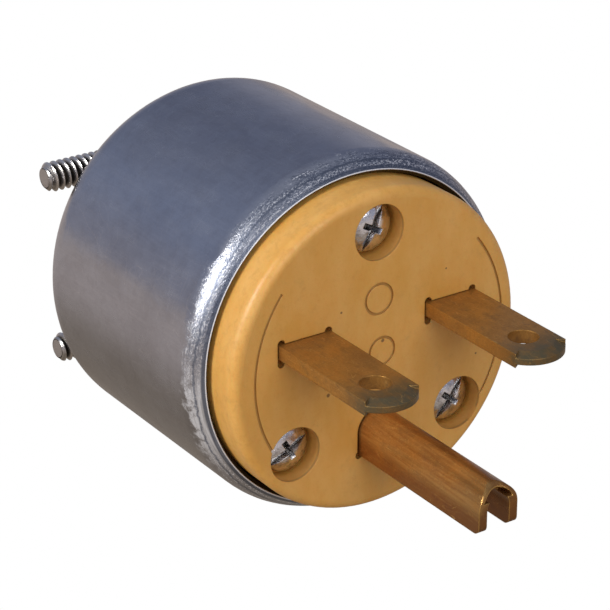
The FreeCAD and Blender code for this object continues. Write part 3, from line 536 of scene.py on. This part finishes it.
def threadTree():
    tree, given, result = geometryTree("threadedShank", [
        ("Turns", "Int", 30), ("Segments", "Int", 40), ("Rows Per Turn", "Int", 8),
        ("Pitch", "Float", 0.8), ("Crest Radius", "Float", 1.7), ("Root Radius", "Float", 1.3),
        ("Length", "Float", 25.0), ("Point Radius", "Float", 1.1), ("Run In", "Float", 0.2),
        ("Finish", "Material", None)])
    take = given.outputs

    def maths(operation, *values):
        return calc(tree, operation, *values)

    rows = maths("MULTIPLY", maths("ADD", take["Turns"], 2.0), take["Rows Per Turn"])
    grid = addNode(tree, "GeometryNodeMeshGrid", {
        "Size X": 1.0, "Size Y": 1.0,
        "Vertices X": maths("ADD", take["Segments"], 1.0), "Vertices Y": maths("ADD", rows, 1.0)})
    where = addNode(tree, "ShaderNodeSeparateXYZ", {0: addNode(tree, "GeometryNodeInputPosition").outputs[0]})
    share = maths("ADD", where.outputs[0], 0.5)
    row = maths("ROUND", maths("MULTIPLY", maths("ADD", where.outputs[1], 0.5), rows))
    angle = maths("MULTIPLY", share, math.tau)
    along = maths("DIVIDE", row, take["Rows Per Turn"])
    raw = maths("MULTIPLY", maths("SUBTRACT", maths("ADD", along, share), 1.0), take["Pitch"])
    axial = maths("MINIMUM", maths("MAXIMUM", raw, 0.0), take["Length"])
    # the profile over one pitch: narrow crest, straight flank, narrow root, straight flank
    phase = maths("FRACT", along)
    flank = maths("ABSOLUTE", maths("SUBTRACT", maths("MULTIPLY", phase, 2.0), 1.0))
    shape = addNode(tree, "ShaderNodeMapRange", {
        "Value": flank, "From Min": thread["flat"], "From Max": 1 - thread["flat"],
        "To Min": 0.0, "To Max": 1.0}).outputs[0]
    depth = maths("SUBTRACT", take["Crest Radius"], take["Root Radius"])
    profile = maths("MULTIPLY_ADD", shape, depth, take["Root Radius"])
    # the last turns taper to the point, the first ones rise from the root
    tipLimit = maths("ADD", take["Point Radius"], maths("SUBTRACT", take["Length"], axial))
    headLimit = maths("ADD", take["Root Radius"], maths("SUBTRACT", axial, take["Run In"]))
    headLimit = maths("MAXIMUM", headLimit, maths("MULTIPLY", take["Root Radius"], 0.98))
    radius = maths("MINIMUM", maths("MINIMUM", profile, tipLimit), headLimit)
    # rows nearly a turn beyond an end shrink onto the axis and close it
    beyond = maths("GREATER_THAN", raw, maths("ADD", take["Length"], maths("MULTIPLY", take["Pitch"], 0.9)))
    before = maths("LESS_THAN", raw, maths("MULTIPLY", take["Pitch"], -0.9))
    radius = maths("MULTIPLY", radius, maths("SUBTRACT", 1.0, maths("MAXIMUM", beyond, before)))
    spot = addNode(tree, "ShaderNodeCombineXYZ", {
        0: maths("MULTIPLY", radius, maths("COSINE", angle)),
        1: maths("MULTIPLY", radius, maths("SINE", angle)), 2: axial})
    moved = addNode(tree, "GeometryNodeSetPosition", {
        "Geometry": grid.outputs[0], "Position": spot.outputs[0]})
    merged = addNode(tree, "GeometryNodeMergeByDistance", {"Geometry": moved.outputs[0], "Distance": 0.0004})
    real = addNode(tree, "GeometryNodeRealizeInstances", {"Geometry": merged.outputs[0]})
    dressed = addNode(tree, "GeometryNodeSetMaterial", {
        "Geometry": real.outputs[0], "Material": take["Finish"]})
    tree.links.new(dressed.outputs[0], result.inputs[0])
    return tree


# Runs the thread tree on an empty mesh and returns the shank as a plain mesh
def growThread(name, size, length, finish):
    tree = threadTree()
    values = {
        "Turns": int(length / size["pitch"]) + 1, "Segments": size["segments"],
        "Rows Per Turn": thread["rowsPerTurn"], "Pitch": size["pitch"], "Crest Radius": size["crest"],
        "Root Radius": size["root"], "Length": length - thread["endGap"], "Point Radius": size["point"],
        "Run In": size["runIn"], "Finish": finish}
    holder = bpy.data.objects.new(name + "Holder", bpy.data.meshes.new(name + "Start"))
    bpy.context.scene.collection.objects.link(holder)
    modifier = holder.modifiers.new("grow", "NODES")
    modifier.node_group = tree
    for item in tree.interface.items_tree:
        if item.in_out == "INPUT" and item.name in values:
            modifier[item.identifier] = values[item.name]
    graph = bpy.context.evaluated_depsgraph_get()
    graph.update()
    mesh = bpy.data.meshes.new_from_object(holder.evaluated_get(graph), depsgraph=graph)
    holder.modifiers.remove(modifier)
    bpy.data.objects.remove(holder)
    return mesh


# A merged copy of a CAD node's mesh as bmesh
def cadCopy(node):
    shape = bmesh.new()
    shape.from_mesh(nodes[node].data)
    bmesh.ops.remove_doubles(shape, verts=shape.verts, dist=0.002 * mm)
    return shape


# Puts a made shape in the scene in place of the CAD nodes named
def addPiece(name, shape, slot, replaced, smoothAngle=35):
    mesh = bpy.data.meshes.new(name)
    shape.to_mesh(mesh)
    shape.free()
    piece = bpy.data.objects.new(name, mesh)
    bpy.context.scene.collection.objects.link(piece)
    mesh.materials.clear()
    mesh.materials.append(finishes[slot])
    mesh.shade_smooth()
    mesh.set_sharp_from_angle(angle=math.radians(smoothAngle))
    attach(piece, "root")
    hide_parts(*replaced)
    return piece


# Clamp screws: the head of the solid, with a real thread for its shank
clampScrew = {
    "turns": {"upper_clamp_screw": 40, "lower_clamp_screw": 110},  # degrees
    "stub": 0.05,     # how much of the solid's own shank stays under its head, mm
}


def clampScrews():
    made = bmesh.new()
    size = thread["clamp"]
    shank = growThread("clampThread", size, size["length"], finishes["clamp_screw_steel"])
    for node, degrees in clampScrew["turns"].items():
        low, high = (Vector(corner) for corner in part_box(node))
        seat = low.x + size["length"] * mm
        centre = (low + high) / 2
        head = cadCopy(node)
        cut = bmesh.ops.bisect_plane(
            head, geom=head.verts[:] + head.edges[:] + head.faces[:],
            plane_co=(seat - clampScrew["stub"] * mm, 0, 0), plane_no=(-1, 0, 0), clear_outer=True)
        rim = [item for item in cut["geom_cut"] if isinstance(item, bmesh.types.BMEdge)]
        if rim:
            bmesh.ops.holes_fill(head, edges=rim)
        mesh = bpy.data.meshes.new("headPart")
        head.to_mesh(mesh)
        head.free()
        made.from_mesh(mesh)
        before = len(made.verts)
        made.from_mesh(shank)
        made.verts.ensure_lookup_table()
        turn = Matrix.Translation((seat, centre.y, centre.z)) @ Matrix.Rotation(math.radians(-90), 4, "Y")
        turn = turn @ Matrix.Rotation(math.radians(degrees), 4, "Z") @ Matrix.Scale(mm, 4)
        bmesh.ops.transform(made, matrix=turn, verts=made.verts[before:])
    bmesh.ops.recalc_face_normals(made, faces=made.faces)
    return addPiece("clampScrews", made, "clamp_screw_steel", list(clampScrew["turns"]))


# Face screws: rounded heads with a slot and a cross recess, cut with booleans and softened
faceHead = {
    "radius": 2.6, "side": 1.0, "crown": 0.7, "underEdge": 0.12, "segments": 64, "domeSteps": 8,
    "slotWidth": 0.85, "slotFoot": 0.86, "slotDepth": 0.75,  # a foot is a share of the width above it
    "slotReach": 1.2,   # half length of the slot cutter, as a share of the head radius
    "crossWidth": 0.72, "crossFoot": 0.55, "crossDepth": 1.5, "crossReach": 1.5, "crossFootReach": 0.35,
    "cutterRise": 0.3,  # how far the cutters stand above the dome
    "soften": 0.07,
    "turns": {"face_screw_top": 62, "face_screw_left": 28, "face_screw_right": 51},  # degrees
}


# A shape turned about Z through (radius, height) points
def turnedMesh(name, profile, segments):
    shape = bmesh.new()
    rings = []
    for radius, level in profile:
        if radius < 1e-6:
            rings.append([shape.verts.new((0, 0, level))])
            continue
        angles = [math.tau * step / segments for step in range(segments)]
        rings.append([shape.verts.new((radius * math.cos(a), radius * math.sin(a), level)) for a in angles])
    for first, second in zip(rings, rings[1:]):
        for step in range(segments):
            after = (step + 1) % segments
            corners = ((first, step), (first, after), (second, after), (second, step))
            loop = [ring[spot % len(ring)] for ring, spot in corners]
            shape.faces.new(list(dict.fromkeys(loop)))  # three corners where a ring is a single point
    bmesh.ops.recalc_face_normals(shape, faces=shape.faces)
    mesh = bpy.data.meshes.new(name)
    shape.to_mesh(mesh)
    shape.free()
    return mesh


# A cutter that narrows downwards; above and foot are its (half length, half width)
def wedge(name, top, depth, above, foot, turn=0.0):
    shape = bmesh.new()
    corners = []
    for level, (halfReach, halfWidth) in ((top, above), (top - depth, foot)):
        for sx, sy in ((-1, -1), (1, -1), (1, 1), (-1, 1)):
            spot = Matrix.Rotation(turn, 3, "Z") @ Vector((sx * halfReach, sy * halfWidth, level))
            corners.append(shape.verts.new(spot))
    for face in ((3, 2, 1, 0), (4, 5, 6, 7), (0, 1, 5, 4), (1, 2, 6, 5), (2, 3, 7, 6), (3, 0, 4, 7)):
        shape.faces.new([corners[index] for index in face])
    bmesh.ops.recalc_face_normals(shape, faces=shape.faces)
    cutter = bpy.data.objects.new(name, bpy.data.meshes.new(name))
    shape.to_mesh(cutter.data)
    shape.free()
    bpy.context.scene.collection.objects.link(cutter)
    return cutter


# A temporary object with its modifiers baked into a plain mesh
def bakedMesh(name, mesh, modifiers):
    holder = bpy.data.objects.new(name, mesh)
    bpy.context.scene.collection.objects.link(holder)
    for kind, settings in modifiers:
        modifier = holder.modifiers.new(kind.lower(), kind)
        for key, value in settings.items():
            setattr(modifier, key, value)
    graph = bpy.context.evaluated_depsgraph_get()
    graph.update()
    made = bpy.data.meshes.new_from_object(holder.evaluated_get(graph), depsgraph=graph)
    holder.modifiers.clear()
    bpy.data.objects.remove(holder)
    return made


def faceHeadMesh():
    look = faceHead
    radius, side, crown = look["radius"], look["side"], look["crown"]
    dome = (radius ** 2 + crown ** 2) / (2 * crown)
    profile = [(0.0, 0.0), (radius - look["underEdge"], 0.0), (radius, look["underEdge"]), (radius, side)]
    reach = math.asin(radius / dome)
    for step in range(1, look["domeSteps"] + 1):
        angle = reach * (1 - step / look["domeSteps"])
        profile.append((dome * math.sin(angle), side + crown - dome * (1 - math.cos(angle))))
    body = turnedMesh("faceHeadBody", profile, look["segments"])
    top = side + crown + look["cutterRise"]
    slotReach, slot = radius * look["slotReach"], look["slotWidth"] / 2
    cross = look["crossWidth"] / 2
    above, foot = (look["crossReach"], cross), (look["crossFootReach"], cross * look["crossFoot"])
    crossDepth = look["crossDepth"] + look["cutterRise"]
    cutters = [
        wedge("slotCutter", top, look["slotDepth"] + look["cutterRise"], (slotReach, slot),
              (slotReach, slot * look["slotFoot"])),
        wedge("crossCutterA", top, crossDepth, above, foot),
        wedge("crossCutterB", top, crossDepth, above, foot, math.pi / 2)]
    cuts = [("BOOLEAN", {"object": cutter, "operation": "DIFFERENCE", "solver": "EXACT"})
            for cutter in cutters]
    cut = bakedMesh("faceHeadCut", body, cuts)
    for cutter in cutters:
        bpy.data.objects.remove(cutter)
    shape = bmesh.new()
    shape.from_mesh(cut)
    bmesh.ops.remove_doubles(shape, verts=shape.verts, dist=0.005)
    bmesh.ops.dissolve_degenerate(shape, edges=shape.edges, dist=0.003)
    shape.to_mesh(cut)
    shape.free()
    return bakedMesh("faceHeadSoft", cut, [("BEVEL", {
        "width": look["soften"], "segments": 2, "limit_method": "ANGLE", "angle_limit": math.radians(32),
        "harden_normals": False})])


def faceScrews():
    head = faceHeadMesh()
    size = thread["face"]
    low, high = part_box("face_screw_top")
    seat = low[1] / mm + faceHead["side"] + faceHead["crown"]
    length = high[1] / mm - seat
    shank = growThread("faceThread", size, length, finishes["screw_steel"])
    made = bmesh.new()
    for node, turn in faceHead["turns"].items():
        low, high = (Vector(corner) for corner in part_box(node))
        centre = (low + high) / 2
        place = Matrix.Translation((centre.x, seat * mm, centre.z)) @ Matrix.Rotation(math.pi / 2, 4, "X")
        place = place @ Matrix.Rotation(math.radians(turn), 4, "Z") @ Matrix.Scale(mm, 4)
        for mesh, flip in ((head, Matrix.Identity(4)), (shank, Matrix.Rotation(math.pi, 4, "X"))):
            before = len(made.verts)
            made.from_mesh(mesh)
            made.verts.ensure_lookup_table()
            bmesh.ops.transform(made, matrix=place @ flip, verts=made.verts[before:])
    bmesh.ops.recalc_face_normals(made, faces=made.faces)
    return addPiece("faceScrews", made, "screw_steel", list(faceHead["turns"]), 40)


clampScrews()
print("clamp screws threaded")
faceScrews()
print("face screws cut and threaded")


# Camera, fitted to the photograph, in millimetres of the part's frame
view = {
    "eye": (-133.666, -184.511, 110.568),
    "aim": (-1.302, 11.588, 1.274),
    "roll": 0.205,
    "lens": 145.20,
}
cameraData = bpy.data.cameras.new("photoCamera")
camera = bpy.data.objects.new("photoCamera", cameraData)
bpy.context.scene.collection.objects.link(camera)
cameraData.sensor_width = 36
cameraData.lens = view["lens"]
cameraData.clip_start = 0.01
cameraData.clip_end = 20
camera.location = Vector(view["eye"]) * mm
aim = (Vector(view["aim"]) - Vector(view["eye"])).to_track_quat("-Z", "Y")
camera.rotation_mode = "QUATERNION"
camera.rotation_quaternion = aim @ Euler((0, 0, math.radians(-view["roll"]))).to_quaternion()
bpy.context.scene.camera = camera


# Light: white backdrop for the camera, soft sky for reflections, a window and a fill
sky = {
    "below": colour(0.24, 0.20, 0.165),
    "table": colour(0.46, 0.40, 0.38),
    "level": colour(0.28, 0.285, 0.35),
    "above": colour(0.152, 0.173, 0.252),
    "aboveLeft": colour(0.235, 0.270, 0.380),
    "zenith": colour(0.30, 0.33, 0.42),
}
world = bpy.data.worlds.new("studio")
bpy.context.scene.world = world
world.use_nodes = True
studio = world.node_tree
studio.nodes.clear()
heading = addNode(studio, "ShaderNodeTexCoord")
facing = addNode(studio, "ShaderNodeSeparateXYZ", {0: heading.outputs["Generated"]}).outputs
height = facing[2]
above = blendColour(studio, ramp(studio, facing[0], 0.25, -0.45), sky["above"], sky["aboveLeft"])
tone = layered(
    studio, sky["below"],
    (ramp(studio, height, -0.62, -0.28), 1.0, sky["table"]),
    (ramp(studio, height, -0.06, 0.02), 1.0, sky["level"]),
    (ramp(studio, height, 0.10, 0.42), 1.0, above),
    (ramp(studio, height, 0.55, 0.95), 1.0, sky["zenith"]))
soft = addNode(studio, "ShaderNodeBackground", {"Color": tone, "Strength": 1.0})
plainWhite = addNode(studio, "ShaderNodeBackground", {"Color": colour(1, 1, 1), "Strength": 1.0})
seen = addNode(studio, "ShaderNodeLightPath")
either = addNode(studio, "ShaderNodeMixShader", {
    0: seen.outputs["Is Camera Ray"], 1: soft.outputs[0], 2: plainWhite.outputs[0]})
studio.links.new(either.outputs[0], addNode(studio, "ShaderNodeOutputWorld").inputs[0])

# Angles in degrees, sizes in metres
lamps = {
    "window": {"azimuth": -92, "elevation": 28, "distance": 0.7, "width": 0.26, "height": 0.32,
               "watts": 3.4, "tint": (1.0, 0.99, 0.97)},
    "front": {"azimuth": -8, "elevation": 30, "distance": 0.9, "width": 0.7, "height": 0.5,
              "watts": 2.9, "tint": (1.0, 0.97, 0.93)},
}
for name, lampLook in lamps.items():
    data = bpy.data.lights.new(name, "AREA")
    data.shape = "RECTANGLE"
    data.size, data.size_y = lampLook["width"], lampLook["height"]
    data.energy = lampLook["watts"]
    data.color = lampLook["tint"]
    lamp = bpy.data.objects.new(name, data)
    bpy.context.scene.collection.objects.link(lamp)
    azimuth, elevation = math.radians(lampLook["azimuth"]), math.radians(lampLook["elevation"])
    out = Vector((math.sin(azimuth) * math.cos(elevation), -math.cos(azimuth) * math.cos(elevation),
                  math.sin(elevation)))
    lamp.location = out * lampLook["distance"]
    lamp.rotation_mode = "QUATERNION"
    lamp.rotation_quaternion = (-out).to_track_quat("-Z", "Y")
print("camera and light placed")

bpy.context.scene.view_settings.view_transform = "Standard"
